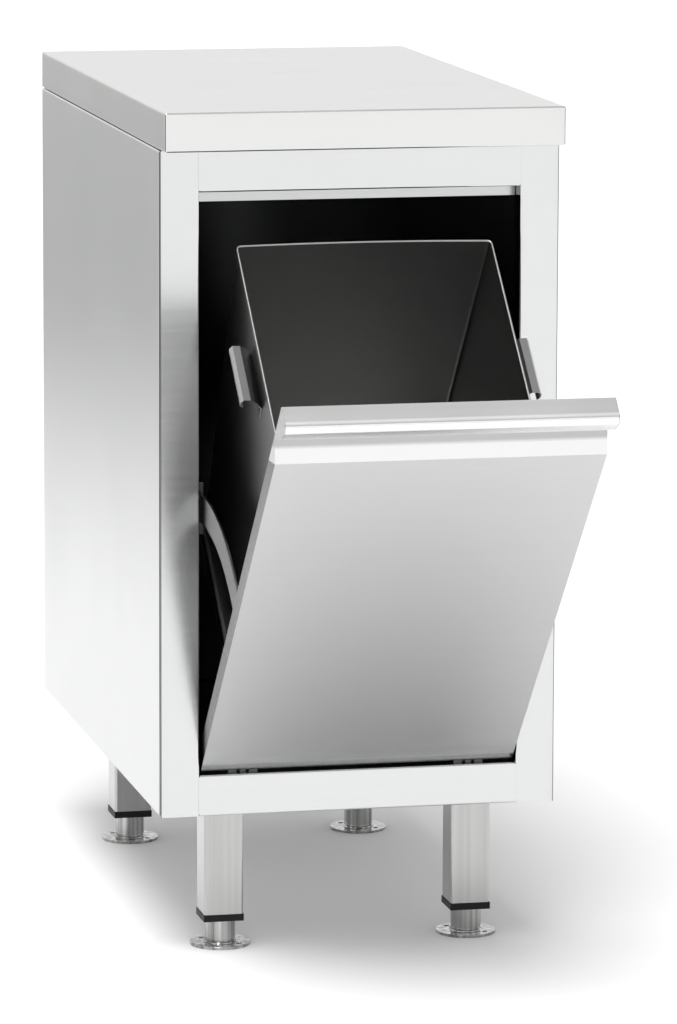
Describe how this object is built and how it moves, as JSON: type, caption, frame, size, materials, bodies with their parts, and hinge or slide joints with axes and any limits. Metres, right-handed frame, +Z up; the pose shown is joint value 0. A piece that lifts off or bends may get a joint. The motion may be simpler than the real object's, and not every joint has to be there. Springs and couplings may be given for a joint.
{
  "type": "trash receptacle cabinet",
  "caption": "Freestanding stainless steel waste cabinet: a worktop over a body on legs with flanged screw feet, and a bottom-hinged tilting door that carries a lift-out bin.",
  "frame": {"origin": "on the floor, midway between the four feet", "axes": "+X to the right seen from the front, +Y to the back, +Z up; the door is stored open, as pictured"},
  "size_m": [0.4, 1.0628, 0.846],
  "materials": {
    "worktop_steel": "satin, brushed along the front edge",
    "frame_steel": "satin",
    "panel_steel": "satin",
    "door_steel": "satin",
    "liner_steel": "satin",
    "bin_steel": "satin, darker inside",
    "grip_steel": "satin",
    "shelf_steel": "satin",
    "stay_steel": "satin",
    "leg_steel": "bright polished",
    "foot_steel": "bright polished",
    "zinc_steel": "bright zinc-plated steel",
    "black_plastic": "matt black",
    "white_plastic": "smooth white",
    "chipboard": "raw pressed board"
  },
  "bodies": {
    "cabinet": {"worktop": "worktop_steel", "worktop_core": "chipboard", "top_bearer_front": "zinc_steel", "top_bearer_rear": "zinc_steel", "bearer_screws": "zinc_steel", "side_panel_left": "panel_steel", "side_panel_right": "panel_steel", "back_panel": "panel_steel", "base_panel": "panel_steel", "stile_left": "frame_steel", "stile_right": "frame_steel", "top_rail": "frame_steel", "bottom_rail": "frame_steel", "stop_strip": "frame_steel", "leg_tube_front_left": "leg_steel", "leg_tube_front_right": "leg_steel", "leg_tube_rear_left": "leg_steel", "leg_tube_rear_right": "leg_steel", "leg_plate_front_left": "zinc_steel", "leg_plate_front_right": "zinc_steel", "leg_plate_rear_left": "zinc_steel", "leg_plate_rear_right": "zinc_steel", "leg_cap_front_left": "black_plastic", "leg_cap_front_right": "black_plastic", "leg_cap_rear_left": "black_plastic", "leg_cap_rear_right": "black_plastic", "leg_bolts": "zinc_steel", "stay_guide_left": "stay_steel", "stay_guide_right": "stay_steel", "guide_screws": "zinc_steel", "hinge_bracket_left": "zinc_steel", "hinge_bracket_right": "zinc_steel", "hinge_pin_left": "zinc_steel", "hinge_pin_right": "zinc_steel"},
    "door": {"door_skin": "door_steel", "door_liner": "liner_steel", "handle_end_left": "door_steel", "handle_end_right": "door_steel", "stay_left": "stay_steel", "stay_right": "stay_steel", "stay_studs": "zinc_steel", "hinge_lug_left": "zinc_steel", "hinge_lug_right": "zinc_steel", "hinge_bush_left": "white_plastic", "hinge_bush_right": "white_plastic", "bin_shelf": "shelf_steel", "shelf_screws": "zinc_steel"},
    "bin": {"bin_shell": "bin_steel", "bin_base": "bin_steel", "bin_grip_left": "grip_steel", "bin_grip_right": "grip_steel"},
    "foot_front_left": {"foot_front_left": "foot_steel", "spindle_front_left": "zinc_steel"},
    "foot_front_right": {"foot_front_right": "foot_steel", "spindle_front_right": "zinc_steel"},
    "foot_rear_left": {"foot_rear_left": "foot_steel", "spindle_rear_left": "zinc_steel"},
    "foot_rear_right": {"foot_rear_right": "foot_steel", "spindle_rear_right": "zinc_steel"}
  },
  "joints": [
    {"name": "door_tilt", "type": "hinge", "parent": "cabinet", "child": "door", "pos_m": [0, -0.3025, 0.2004], "axis": [1, 0, 0], "range_deg": [-44.1, 0]},
    {"name": "bin_lift", "type": "slide", "parent": "door", "child": "bin", "axis": [0, -0.6959, 0.7181], "range_m": [0, 0.55]},
    {"name": "foot_front_left_screw", "type": "slide", "parent": "cabinet", "child": "foot_front_left", "axis": [0, 0, -1], "range_m": [0, 0.05]},
    {"name": "foot_front_right_screw", "type": "slide", "parent": "cabinet", "child": "foot_front_right", "axis": [0, 0, -1], "range_m": [0, 0.05]},
    {"name": "foot_rear_left_screw", "type": "slide", "parent": "cabinet", "child": "foot_rear_left", "axis": [0, 0, -1], "range_m": [0, 0.05]},
    {"name": "foot_rear_right_screw", "type": "slide", "parent": "cabinet", "child": "foot_rear_right", "axis": [0, 0, -1], "range_m": [0, 0.05]}
  ]
}
